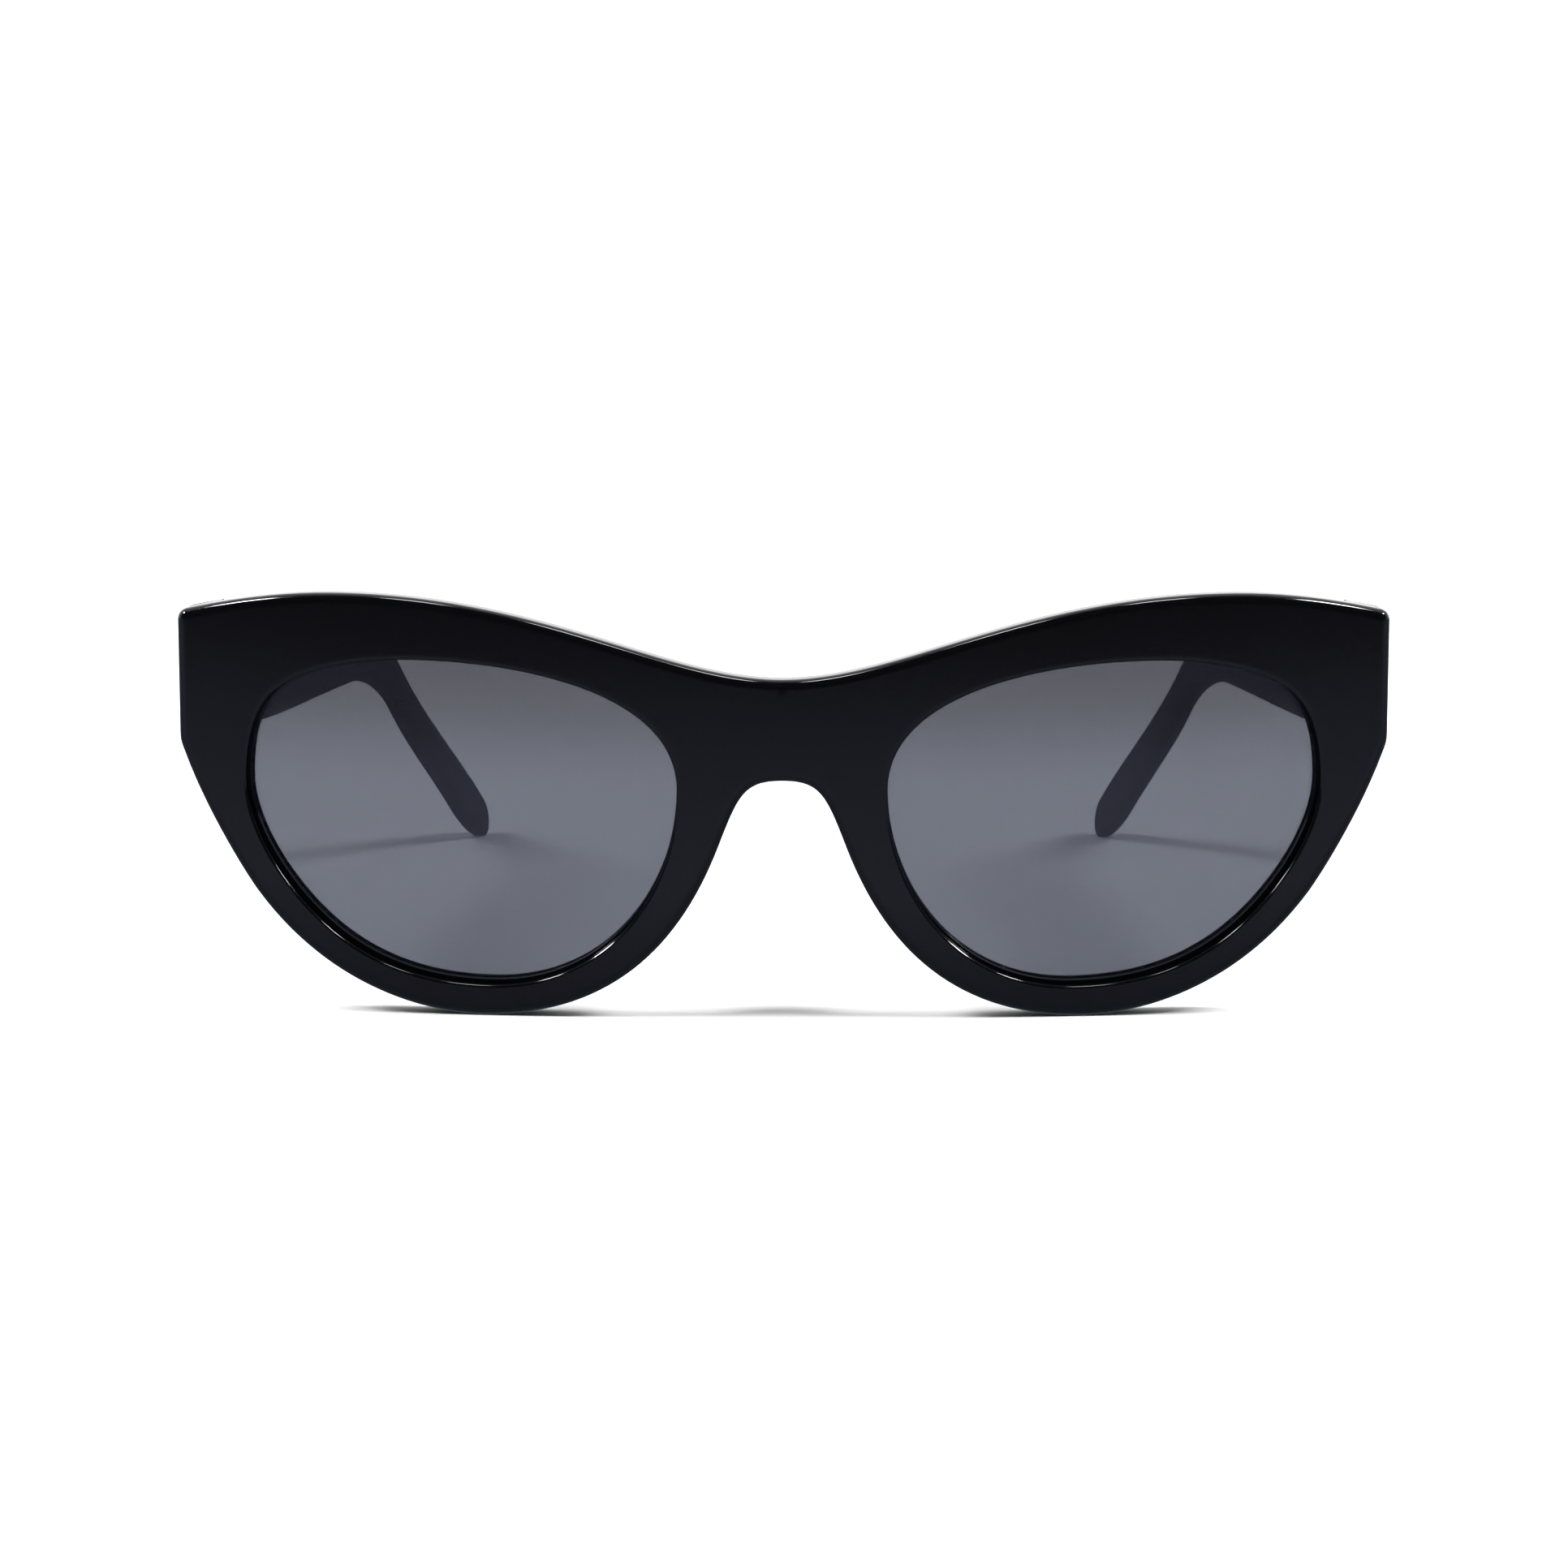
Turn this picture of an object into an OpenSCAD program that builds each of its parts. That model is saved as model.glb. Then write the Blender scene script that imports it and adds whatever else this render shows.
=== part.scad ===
// Cat eye sunglasses with an acetate frame, glazed lenses and folding temples.
// +Z is up, the front faces -Y, and the open temples run towards +Y.
// The origin lies on the ground under the middle of the open sunglasses.
// The wearer's left side is +X. Every right-hand piece mirrors a left-hand one.

/* [Front] */
// Distance from the centre line to the side of an end piece
half_width = 71; // [70.5:0.5:73]
// Radius of the front face around the wearer's head
wrap_radius = 320; // [280:10:400]
// Thickness of the acetate front
front_thickness = 4.8; // [4.6:0.1:5.2]

/* [Lenses] */
// Thickness of a lens
lens_thickness = 1.8; // [1.6:0.1:2]
// Depth of the lens groove in the rim
groove_depth = 0.8; // [0.7:0.1:1]
// How far the lens lies behind the front face
lens_recess = 2.2; // [2:0.1:2.4]
// How far the rim's lip reaches over the lens
lip = 0.6; // [0.4:0.1:0.7]

/* [Nose pads] */
// Thickness of a nose pad
pad_thickness = 3; // [2.6:0.2:3.2]
// How far a nose pad stands out behind the front
pad_reach = 5; // [4:0.5:5.5]

/* [Temples] */
// Thickness of a temple at its hinge
temple_thickness = 4; // [3.6:0.1:4.2]
// Thickness of a temple at its tip
tip_thickness = 2.6; // [2.4:0.1:3.2]
// How far the tip bends in towards the head
temple_bow = 19.6; // [18:0.2:21]

/* [Hinges] */
// Outer diameter of the hinge barrels
barrel_diameter = 2.8; // [2.6:0.1:3]
// Diameter of the hinge screw's shank
screw_diameter = 1.4; // [1.2:0.1:1.4]
// Height of one hinge barrel
barrel_height = 1.3; // [1.1:0.1:1.4]

/* [Hidden] */

// Where the tip ends and where the mitre lies, measured back from the middle of the front face
temple_reach = 149.8;
mitre = 15;
front_y = -temple_reach / 2;
// The temple's outer side is set in a little from the end piece
temple_inner_x = half_width - 0.2 - temple_thickness;
// Bow of a temple: how late it sets in, where it is full, and how far its folds lean back
// from upright, which turns the hook in as it drops below the given height
bow_power = 1.93;
bow_end = 176;
bow_lean = 40;
bow_height = 38;
// How far the solid of the plan reaches below the bow's height
plan_drop = 55;

// How far the lens sits towards the nose and up from the middle of the opening
lip_shift = [-0.2, 0.3];
// Steps along each stretch of a curved outline
curve_steps = 9;
// Facets of the large wrap cylinders, and of the small round hinge parts
$fn = 48;
wrap_facets = 360;
// Play between glazed, glued or screwed pieces, and between turning ones
seat_play = 0.03;
hinge_play = 0.05;
// Oversize of a cutting shape, so that no faces coincide
cut_past = 1;

// An outline's knots are [x, z, heading in degrees, handle before, handle after].
// A curve leaves each knot along its heading, and handles set how long it keeps to it.
rim_knots = [
    [0, 39.6, 0, 0, 13.8],
    [52.5, 49.3, 0, 25, 8.7],
    [69.9, 47.2, -9.5, 0.5, 0.6],
    [half_width, 45.9, -90, 0.7, 4],
    [half_width, 32.5, -90, 4, 1],
    [70.5, 30.3, -110, 1, 8],
    [61.8, 13.9, -127, 1.9, 13],
    [35, 0, 180, 8.2, 14.8],
    [7.4, 20.1, 111, 12.8, 6.5],
    [0, 27.8, 180, 4.4, 0]];
eye_knots = [
    [43.4, 42, 0, 14, 7.8],
    [60.6, 37, -50, 4.1, 3.6],
    [63.3, 27, -90, 2.9, 4.9],
    [55.6, 11.7, -134, 6.2, 8.1],
    [33.9, 3.2, 180, 9.1, 13.8],
    [11.8, 26.8, 90, 12.2, 11.4],
    [43.4, 42, 0, 14, 7.8]];
pad_knots = [
    [10, 25.4, -84, 0, 5.5],
    [14.6, 9.8, -56, 6, 0]];
// A temple's knots are [distance back, height, heading, handle before, handle after].
temple_knots = [
    [mitre, 47.1, -20, 0, 9],
    [46, 39.8, -4, 12, 16],
    [100, 37.8, -8, 18, 9],
    [121.1, 28.8, -44, 10, 10],
    [149.1, 5.4, -49, 10, 2.4],
    [146.6, 0, 180, 2.6, 2],
    [139.4, 4.4, 134, 2, 10],
    [120, 22, 132, 10, 7],
    [95.9, 29.3, 180, 8, 12],
    [46, 29.8, 177, 14, 10],
    [mitre, 32.5, 166, 9, 0]];
core_knots = [
    [27, 36.4, -8, 0, 16],
    [99, 33.6, -9, 20, 8],
    [120.6, 25.4, -45, 8, 8],
    [140, 8, -43, 6, 0]];

// Hinge: the axis, the middle of its height, and its leaves
hinge_x = 64.8;
hinge_z = 41;
barrel_count = 5;
barrel_r = barrel_diameter / 2;
screw_r = screw_diameter / 2;
barrel_gap = 0.05;
barrel_pitch = barrel_height + barrel_gap;
leaf_height = barrel_count * barrel_pitch - barrel_gap;
leaf_z = hinge_z - leaf_height / 2;
leaf_thickness = 0.8;
leaf_sunk = 0.4;
seat_y = 12;
front_leaf_x = 61.4;
front_leaf_width = 4.8;
temple_leaf_length = 9;
temple_leaf_start = mitre + 0.4;
neck_width = 2.2;
rivet_r = 0.5;
rivet_length = 2.4;
rivet_head_r = 0.85;
rivet_head_height = 0.35;
front_rivet_x = 62.4;
temple_rivets = [19.2, 22.6];
head_r = 1.05;
head_height = 0.5;
slot_width = 0.3;
slot_depth = 0.25;

// End piece: the thick block behind the rim that the temple butts against
block_inner_x = 66.4;
block_seat_x = 60.8;
block_bottom = 32.5;
block_top = 47;

// Core wire inside a temple
core_height = 2.2;
core_thickness = 1.1;

// Nose pad: how far it leans outwards, and its rounded profile
pad_lean = 18;
pad_tilt = 16;
pad_middle = [12.2, 17.6];
pad_half_length = 7.6;
pad_profile_r = (pow(pad_half_length, 2) + pow(pad_reach, 2)) / (2 * pad_reach);

// The point at t of the curve between two knots, moved sideways by outset
function handle(knot, length) =
    [knot[0] + length * cos(knot[2]), knot[1] + length * sin(knot[2])];
function curve_point(a, b, t, outset) =
    let (p0 = handle(a, 0), p1 = handle(a, a[4]), p2 = handle(b, -b[3]), p3 = handle(b, 0),
        u = 1 - t,
        place = u * u * u * p0 + 3 * u * u * t * p1 + 3 * u * t * t * p2 + t * t * t * p3,
        slope = u * u * (p1 - p0) + 2 * u * t * (p2 - p1) + t * t * (p3 - p2))
    place + outset * [-slope[1], slope[0]] / norm(slope);
// All points of the curve through the knots, with both of its ends
function curve(knots, outset = 0) = [
    for (i = [0 : len(knots) - 2], s = [0 : curve_steps - 1])
        curve_point(knots[i], knots[i + 1], s / curve_steps, outset),
    curve_point(knots[len(knots) - 2], knots[len(knots) - 1], 1, outset)];
function reversed(points) = [for (i = [len(points) - 1 : -1 : 0]) points[i]];
function mirrored(points) = [for (p = reversed(points)) [-p[0], p[1]]];
// A band of the given width along an open curve
function band(knots, width) =
    concat(curve(knots, width / 2), reversed(curve(knots, -width / 2)));
// Plan of a temple: its middle line drifts in slowly at first, then faster, with "along"
// the distance back, measured down the lean
function bow_share(along) = (along - mitre) / (bow_end - mitre);
function temple_middle(along) =
    temple_inner_x + temple_thickness / 2 - temple_bow * pow(max(0, bow_share(along)), bow_power);

module on_side(side) {
    if (side == "right") mirror([1, 0, 0]) children();
    else children();
}
module both_sides() {
    on_side("left") children();
    on_side("right") children();
}
// Move to distances measured back from the middle of the front face
module from_front() {
    translate([0, front_y, 0]) children();
}
// Extrude an outline drawn in x and z from one distance back to another
module along_y(from, to) {
    translate([0, to, 0]) rotate([90, 0, 0]) linear_extrude(to - from) children();
}
// Extrude a temple's side outline, drawn in distance back and height, across x
module across_x(from, to) {
    translate([from, 0, 0]) rotate([90, 0, 90]) linear_extrude(to - from) children();
}
// The solid inside the wrap at the given depth behind the front face
module inside_wrap(depth) {
    translate([0, wrap_radius, -cut_past])
        cylinder(r = wrap_radius - depth, h = 60, $fn = wrap_facets);
}
// A curved sheet with the wrap of the front, cut to the outline of its children
module wrapped(outer_depth, inner_depth) {
    difference() {
        intersection() {
            along_y(-cut_past, 20) children();
            inside_wrap(outer_depth);
        }
        inside_wrap(inner_depth);
    }
}

module rim_outline() {
    polygon(concat(curve(rim_knots), mirrored(curve(rim_knots))));
}
module eye_outline(outset) {
    polygon(curve(eye_knots, outset));
}
// The lip's outline, which is set a little off the middle of the opening
module lens_outline(outset) {
    translate(lip_shift) eye_outline(outset - lip);
}

module end_block() {
    intersection() {
        along_y(0, 20) rim_outline();
        translate([0, 0, block_bottom])
            linear_extrude(block_top - block_bottom)
                polygon([
                    [block_seat_x - 1, 9.5], [block_seat_x, seat_y], [block_inner_x, seat_y],
                    [block_inner_x, mitre - hinge_play], [half_width + cut_past, mitre - hinge_play],
                    [half_width + cut_past, 9.5]]);
    }
}

module front_frame() {
    color("#101014") from_front() difference() {
        union() {
            wrapped(0, front_thickness) rim_outline();
            both_sides() end_block();
        }
        both_sides() {
            along_y(-cut_past, 20) lens_outline(0);
            wrapped(-cut_past, lens_recess / 2) eye_outline(-lip / 2);
            wrapped(lens_recess - seat_play, lens_recess + lens_thickness + seat_play)
                lens_outline(groove_depth);
            front_leaf_plate(seat_play);
            front_rivet_bodies(seat_play);
        }
    }
}

module lens(side) {
    color([0.42, 0.42, 0.46, 0.6]) from_front() on_side(side)
        wrapped(lens_recess, lens_recess + lens_thickness)
            lens_outline(groove_depth - seat_play);
}

module nose_pad(side) {
    color("#101014") from_front() on_side(side) intersection() {
        inside_wrap(front_thickness + seat_play);
        translate([pad_middle[0], 0, 0]) rotate([0, 0, -pad_lean])
            along_y(0, 20) translate([-pad_middle[0], 0]) polygon(band(pad_knots, pad_thickness));
        translate([pad_middle[0], front_thickness + pad_reach - pad_profile_r, pad_middle[1]])
            rotate([0, -pad_tilt, 0]) rotate([0, 90, 0])
                cylinder(r = pad_profile_r, h = 20, center = true);
    }
}

// One barrel of the hinge, counted from the bottom
module barrel(index, r) {
    translate([hinge_x, mitre, leaf_z + index * barrel_pitch]) cylinder(r = r, h = barrel_height);
}
module hinge_bore(r) {
    translate([hinge_x, mitre, leaf_z - cut_past]) cylinder(r = r, h = leaf_height + 2 * cut_past);
}
module front_leaf_plate(grow) {
    translate([front_leaf_x - grow, seat_y - leaf_sunk - grow, leaf_z - grow])
        cube([front_leaf_width + 2 * grow, leaf_thickness + grow, leaf_height + 2 * grow]);
}
module front_rivet_bodies(grow) {
    for (index = [1, 3])
        translate([front_rivet_x, seat_y - leaf_sunk + leaf_thickness,
                leaf_z + index * barrel_pitch + barrel_height / 2])
            rotate([90, 0, 0]) rivet(grow);
}
// A countersunk rivet that points down its own +Z, with its head at the origin
module rivet(grow) {
    cylinder(r = rivet_r + grow, h = rivet_length + grow);
    cylinder(r = rivet_head_r + grow, h = rivet_head_height);
}

module front_hinge(side) {
    color("silver") from_front() on_side(side) difference() {
        union() {
            front_leaf_plate(0);
            for (index = [0 : 2 : barrel_count - 1]) {
                barrel(index, barrel_r);
                translate([hinge_x - neck_width / 2, seat_y, leaf_z + index * barrel_pitch])
                    cube([neck_width, mitre - seat_y, barrel_height]);
            }
        }
        hinge_bore(screw_r + hinge_play);
        translate([hinge_x, mitre, leaf_z + leaf_height - head_height])
            cylinder(r = head_r + hinge_play, h = head_height + cut_past);
        front_rivet_bodies(seat_play);
    }
}
module front_hinge_rivets(side) {
    color("gainsboro") from_front() on_side(side) front_rivet_bodies(0);
}

module temple_leaf_plate(grow) {
    translate([temple_inner_x + leaf_sunk - leaf_thickness, temple_leaf_start - grow, leaf_z - grow])
        cube([leaf_thickness + grow, temple_leaf_length + 2 * grow, leaf_height + 2 * grow]);
}
module temple_rivet_bodies(grow) {
    for (back = temple_rivets)
        translate([temple_inner_x + leaf_sunk - leaf_thickness, back, hinge_z]) rotate([0, 90, 0])
            rivet(grow);
}
module temple_hinge(side) {
    color("silver") from_front() on_side(side) difference() {
        union() {
            temple_leaf_plate(0);
            for (index = [1 : 2 : barrel_count - 1]) {
                barrel(index, barrel_r);
                translate([hinge_x, mitre + 0.1, leaf_z + index * barrel_pitch])
                    cube([2, neck_width, barrel_height]);
            }
        }
        hinge_bore(screw_r + hinge_play);
        temple_rivet_bodies(seat_play);
    }
}
module temple_hinge_rivets(side) {
    color("gainsboro") from_front() on_side(side) temple_rivet_bodies(0);
}

module hinge_screw(side) {
    color("gainsboro") from_front() on_side(side) difference() {
        translate([hinge_x, mitre, leaf_z]) {
            cylinder(r = screw_r, h = leaf_height);
            translate([0, 0, leaf_height - head_height]) cylinder(r = head_r, h = head_height);
        }
        translate([hinge_x, mitre, leaf_z + leaf_height - slot_depth / 2 + cut_past / 2])
            cube([3 * head_r, slot_width, slot_depth + cut_past], center = true);
    }
}

// Plan of a temple or its wire: a strip around the bowed middle line, thinner at the tip
module temple_plan(hinge_width, tip_width) {
    stations = [for (along = [mitre - 9 : 8 : bow_end + 6]) along];
    function half_strip(along) =
        (hinge_width + (tip_width - hinge_width) * max(0, bow_share(along))) / 2;
    function edge(side) = [for (along = stations)
        [temple_middle(along) + side * half_strip(along), along * cos(bow_lean)]];
    translate([0, 0, bow_height]) rotate([-bow_lean, 0, 0]) translate([0, 0, -plan_drop])
        linear_extrude(3 * plan_drop) polygon(concat(edge(-1), reversed(edge(1))));
}
module core_body(grow) {
    intersection() {
        across_x(40, half_width) polygon(band(core_knots, core_height + 2 * grow));
        temple_plan(core_thickness + 2 * grow, core_thickness + 2 * grow);
    }
}
module temple(side) {
    color("#101014") from_front() on_side(side) difference() {
        intersection() {
            across_x(40, half_width + cut_past) polygon(curve(temple_knots));
            temple_plan(temple_thickness, tip_thickness);
        }
        core_body(seat_play);
        temple_leaf_plate(seat_play);
        temple_rivet_bodies(seat_play);
    }
}
module core_wire(side) {
    color("lightslategray") from_front() on_side(side) core_body(0);
}

front_frame();
lens("right");  // lens_right
lens("left");  // lens_left
nose_pad("right");  // nose_pad_right
nose_pad("left");  // nose_pad_left
front_hinge("right");  // front_hinge_right
front_hinge("left");  // front_hinge_left
front_hinge_rivets("right");  // front_hinge_rivets_right
front_hinge_rivets("left");  // front_hinge_rivets_left
temple_hinge("right");  // temple_hinge_right
temple_hinge("left");  // temple_hinge_left
temple_hinge_rivets("right");  // temple_hinge_rivets_right
temple_hinge_rivets("left");  // temple_hinge_rivets_left
hinge_screw("right");  // hinge_screw_right
hinge_screw("left");  // hinge_screw_left
temple("right");  // temple_right
temple("left");  // temple_left
core_wire("right");  // core_wire_right
core_wire("left");  // core_wire_left
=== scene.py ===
"""Looks of the cat eye sunglasses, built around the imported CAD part.

Lengths are in millimetres unless a name says otherwise, and place() turns them into metres.
Outlines are drawn on the wearer's left side, +X, and the right side mirrors it.
"back" is a distance behind the middle of the front face.
"""

import math

import bmesh
import bpy
from mathutils import Matrix, Vector


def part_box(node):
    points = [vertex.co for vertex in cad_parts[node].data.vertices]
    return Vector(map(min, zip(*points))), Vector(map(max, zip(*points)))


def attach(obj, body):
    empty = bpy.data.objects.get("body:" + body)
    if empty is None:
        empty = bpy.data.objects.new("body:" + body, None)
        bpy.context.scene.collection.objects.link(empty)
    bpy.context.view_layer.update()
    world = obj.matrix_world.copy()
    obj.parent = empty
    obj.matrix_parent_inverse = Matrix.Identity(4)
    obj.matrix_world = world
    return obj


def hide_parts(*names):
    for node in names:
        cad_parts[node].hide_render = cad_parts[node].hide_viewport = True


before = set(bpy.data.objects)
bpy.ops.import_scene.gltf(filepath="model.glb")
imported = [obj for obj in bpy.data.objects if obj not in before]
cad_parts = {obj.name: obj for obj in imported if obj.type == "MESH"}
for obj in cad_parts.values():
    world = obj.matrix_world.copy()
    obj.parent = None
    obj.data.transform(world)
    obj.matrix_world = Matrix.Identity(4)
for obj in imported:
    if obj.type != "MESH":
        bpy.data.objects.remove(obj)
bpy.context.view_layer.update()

MM = 0.001
FRONT_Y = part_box("front_frame")[0].y
SIDES = {"left": 1, "right": -1}

# Front, as in the CAD part
HALF_WIDTH = 71.0
WRAP_RADIUS = 320.0
FRONT_THICKNESS = 4.8
BRIDGE_TOP = 39.6
BRIDGE_BOTTOM = 27.8
LIP = 0.6
LIP_SHIFT = Vector((-0.2, 0.3))
GROOVE_DEPTH = 0.8
LENS_RECESS = 2.2
LENS_THICKNESS = 1.8
SEAT_PLAY = 0.03
HINGE_PLAY = 0.05
MITRE = 15.0

# An outline's knots are (x, z, heading in degrees, handle before, handle after).
RIM_KNOTS = (
    (0, BRIDGE_TOP, 0, 0, 13.8),
    (52.5, 49.3, 0, 25, 8.7),
    (69.9, 47.2, -9.5, 0.5, 0.6),
    (HALF_WIDTH, 45.9, -90, 0.7, 4),
    (HALF_WIDTH, 32.5, -90, 4, 1),
    (70.5, 30.3, -110, 1, 8),
    (61.8, 13.9, -127, 1.9, 13),
    (35, 0, 180, 8.2, 14.8),
    (7.4, 20.1, 111, 12.8, 6.5),
    (0, BRIDGE_BOTTOM, 180, 4.4, 0),
)
EYE_KNOTS = (
    (43.4, 42, 0, 14, 7.8),
    (60.6, 37, -50, 4.1, 3.6),
    (63.3, 27, -90, 2.9, 4.9),
    (55.6, 11.7, -134, 6.2, 8.1),
    (33.9, 3.2, 180, 9.1, 13.8),
    (11.8, 26.8, 90, 12.2, 11.4),
    (43.4, 42, 0, 14, 7.8),
)
EYE_CENTRE = (37.0, 22.0)
# Rays from here cross the rim in order, all the way round
RAY_CENTRE = (37.0, 29.0)
# Steps between the rim's knots, and along the cut on the centre line
RIM_STEPS = (44, 14, 8, 12, 4, 14, 26, 30, 14)
CUT_STEPS = 10

# Roundings of the front's edges
OUTER_FRONT_RADIUS = 1.0
OUTER_BACK_RADIUS = 1.1
INNER_FRONT_RADIUS = 0.35
INNER_BACK_RADIUS = 0.6
ROUND_STEPS = 6
# Where the opening's edge starts on the face, and the depth of the ledge in its wall
EYE_EDGE = -0.05
LEDGE_DEPTH = 1.1
# Rows that round the ledge off, as (outset, depth below the ledge, share of the lip's shift).
# The first pair starts from the lip, the second one from the wall in front of it.
LEDGE_INNER_ROWS = ((0, 0.12, 0.9), (0.05, 0.05, 0.6))
LEDGE_OUTER_ROWS = ((-0.06, 0, 0.2), (-0.02, -0.05, 0))
# Rows across a face, as shares of the way from the opening to the outer edge
FACE_ROWS = (0, 0.04, 0.2, 0.4, 0.6, 0.8, 0.96, 1)

# End piece behind the rim, and the seat of the hinge
BLOCK_INNER_X = 66.4
BLOCK_BOTTOM = 32.5
BLOCK_START = 9.5
BLOCK_RADIUS = 0.5
# How far the end piece is set in from the rim's outline, so that no faces coincide
BLOCK_SUNK = 0.02
BLOCK_STEPS = 4
SEAT_X = (61.0, 66.6)
SEAT_Z = (37.2, 44.8)
SEAT_BACK = 12.0
SEAT_RADIUS = 0.3

# Lenses
LENS_CROWN = 0.45
LENS_RINGS = 14
LENS_STATIONS = 144
LENS_BEVEL = 0.6
# Share of a lens's thickness that each bevel takes
LENS_EDGE_SHARE = 0.4

# Temples. Their knots are (back, height, heading, handle before, handle after).
TEMPLE_KNOTS = (
    (MITRE, 47.1, -20, 0, 9),
    (46, 39.8, -4, 12, 16),
    (100, 37.8, -8, 18, 9),
    (121.1, 28.8, -44, 10, 10),
    (149.1, 5.4, -49, 10, 2.4),
    (146.6, 0, 180, 2.6, 2),
    (139.4, 4.4, 134, 2, 10),
    (120, 22, 132, 10, 7),
    (95.9, 29.3, 180, 8, 12),
    (46, 29.8, 177, 14, 10),
    (MITRE, 32.5, 166, 9, 0),
)
TEMPLE_STEPS = (16, 22, 14, 16)
TEMPLE_THICKNESS = 4.0
TIP_THICKNESS = 2.6
TEMPLE_INNER_X = HALF_WIDTH - 0.2 - TEMPLE_THICKNESS
TEMPLE_BOW = 19.6
BOW_POWER = 1.93
BOW_END = 176.0
BOW_LEAN = math.tan(math.radians(40))
BOW_HEIGHT = 38.0
TEMPLE_RADIUS = 1.25
BUTT_RADIUS = 0.3
BUTT_STEPS = 3
TIP_STEPS = 12
TIP_FULLNESS = 0.45
# Points of a section: round each corner, and along each side as shares of its length
CORNER_POINTS = 6
SIDE_SHARES = (0.04, 0.5, 0.96)

# Nose pads
PAD_KNOTS = ((10, 25.4, -84, 0, 5.5), (14.6, 9.8, -56, 6, 0))
PAD_REACH = 4.9
PAD_HALF_WIDTH = 1.5
PAD_LEAN = math.tan(math.radians(18))
PAD_ROOT = 0.4
PAD_STATIONS = 28
PAD_POINTS = 25
# Powers that make a pad's section and its run-out fuller or leaner than an ellipse
PAD_SIDE_POWER = 0.8
PAD_TOP_POWER = 0.75
PAD_WIDTH_POWER = 0.8
PAD_HEIGHT_POWER = 1.5

# Camera: distance in front of the bridge, height, step aside, and where it turns in degrees
CAMERA_DISTANCE = 420.0
CAMERA_HEIGHT = 83.24
CAMERA_SIDE = 4.2
CAMERA_PITCH = 7.539
CAMERA_TURN = 0.542
CAMERA_LENS = 84.28
CAMERA_SENSOR = 36.0

# Lights, as (name, direction they shine in, strength, spread in degrees, seen only by gloss).
# Those of the left side are mirrored on the right.
FILL_LIGHT = ("fill", (0.0, 0.0, -1.0), 0.4, 80, False)
SIDE_LIGHTS = (
    ("key", (-0.66, 0.0, -0.75), 3.75, 24, False),
    ("edge_glint", (-0.77, 0.09, -0.64), 3.2, 8, True),
    ("top_glint", (-0.145, 0.13, -0.98), 0.36, 8, True),
    ("corner_glint", (-0.51, 0.13, -0.85), 1.3, 8, True),
)
# World: strength in front of and behind the object, where it changes, and what the camera sees
WORLD_STRENGTH = (0.04, 1.3)
WORLD_CHANGE = (-0.3, 0.6)
WORLD_SEEN = 1.1

# Floor
FLAG_DISTANCE = 600.0
# Painted glow that gloss sees in place of the floor, from FLAG_DISTANCE in front of the face up
# to the face; its dark front end is painted shade
FLOOR_PAINTED_GLOW = (
    (0.0, (0.05, 0.05, 0.055)),
    (0.3, (0.12, 0.12, 0.14)),
    (0.6, (0.28, 0.3, 0.38)),
    (0.85, (0.38, 0.4, 0.5)),
    (1.0, (0.2, 0.21, 0.27)),
)
FLOOR_SPAN_M = 9.0

# Materials
ACETATE_COLOURS = ((0.001, 0.001, 0.0018), (0.0016, 0.0017, 0.003))
ACETATE_IOR = 1.45
# Gloss of the acetate on open surfaces, and in the opening's wall, where the much lower gloss is
# painted shade
ACETATE_GLOSS_AND_PAINTED_SHADE = (0.5, 0.06)
LENS_COLOUR = (0.022, 0.022, 0.036, 1)
LENS_IOR = 1.65
LENS_CLEAR_SHARE = 0.5
# Tint of a lens below and above, where the darker tint is painted shade, and the heights in
# metres between which it changes
LENS_TINTS_WITH_PAINTED_SHADE = ((0.545, 0.567, 0.617), (0.425, 0.425, 0.45))
PAINTED_SHADE_HEIGHTS_M = (0.026, 0.043)
METAL_DARKENING = 0.92
FLOOR_COLOURS = ((0.8, 0.8, 0.8), (0.82, 0.82, 0.82))
WHITE = (1, 1, 1, 1)

# Meshes: the distance in metres at which points join, and the area of a flat face
JOIN_M = 1e-6
FLAT_M2 = 1e-14


def place(x, z, back):
    """The point in metres, in the CAD part's frame, at x, height z and a distance back."""
    return Vector((x * MM, FRONT_Y + back * MM, z * MM))


def curve_point(a, b, t, outset):
    """Point at t of the curve between two knots, moved outwards by outset."""
    ends = []
    for knot, length in ((a, a[4]), (b, -b[3])):
        turn = math.radians(knot[2])
        end = Vector(knot[:2])
        ends.append((end, end + length * Vector((math.cos(turn), math.sin(turn)))))
    (p0, p1), (p3, p2) = ends
    u = 1 - t
    point = u**3 * p0 + 3 * u * u * t * p1 + 3 * u * t * t * p2 + t**3 * p3
    slope = u * u * (p1 - p0) + 2 * u * t * (p2 - p1) + t * t * (p3 - p2)
    return point + outset * Vector((-slope.y, slope.x)).normalized()


def on_outline(knots, at, outset=0.0):
    """Point on an outline. The place "at" is counted in knots from its first knot."""
    index = min(int(at), len(knots) - 2)
    return curve_point(knots[index], knots[index + 1], at - index, outset)


def stations(steps):
    """Places along an outline, with that many steps in each of its stretches."""
    inner = [index + step / count for index, count in enumerate(steps) for step in range(count)]
    return [*inner, float(len(steps))]


def behind(x, depth):
    """How far back the wrapped front lies at x, at that depth below its face."""
    return WRAP_RADIUS - math.sqrt((WRAP_RADIUS - depth) ** 2 - x * x)


def polar(point):
    """Angle of an outline's point round the rays' centre."""
    return math.atan2(point[1] - RAY_CENTRE[1], point[0] - RAY_CENTRE[0])


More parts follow.
